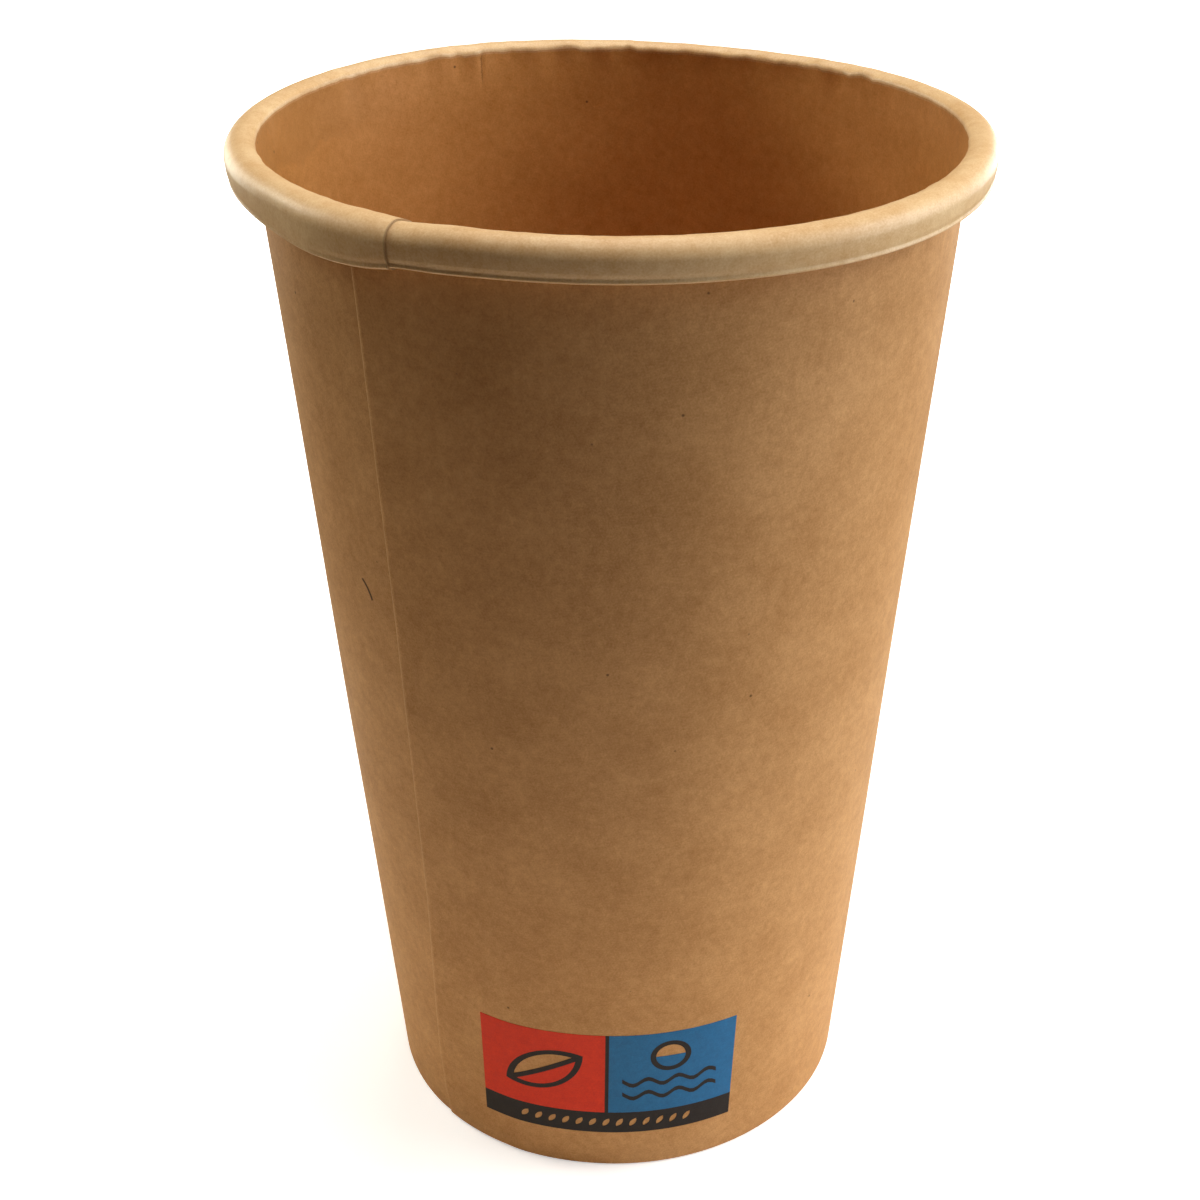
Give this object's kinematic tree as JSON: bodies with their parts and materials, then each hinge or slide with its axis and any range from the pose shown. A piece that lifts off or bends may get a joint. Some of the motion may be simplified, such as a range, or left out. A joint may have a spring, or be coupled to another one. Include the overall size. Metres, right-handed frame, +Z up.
{
  "type": "kraft paper cup",
  "caption": "Conical kraft paper cup with a rolled rim, a lapped side seam, a recessed floor and a small printed panel.",
  "frame": {"origin": "middle of the foot ring, on the table", "axes": "+Z up the cup's axis; -Y is the front, where the printed panel is"},
  "size_m": [0.09, 0.09, 0.1345],
  "materials": {
    "kraft_board": "matte",
    "red_ink": "matte",
    "blue_ink": "matte",
    "dark_ink": "matte"
  },
  "bodies": {
    "root": {"sidewall": "kraft_board", "base_disc": "kraft_board", "print_red": "red_ink", "print_blue": "blue_ink", "print_dark": "dark_ink"}
  },
  "joints": []
}
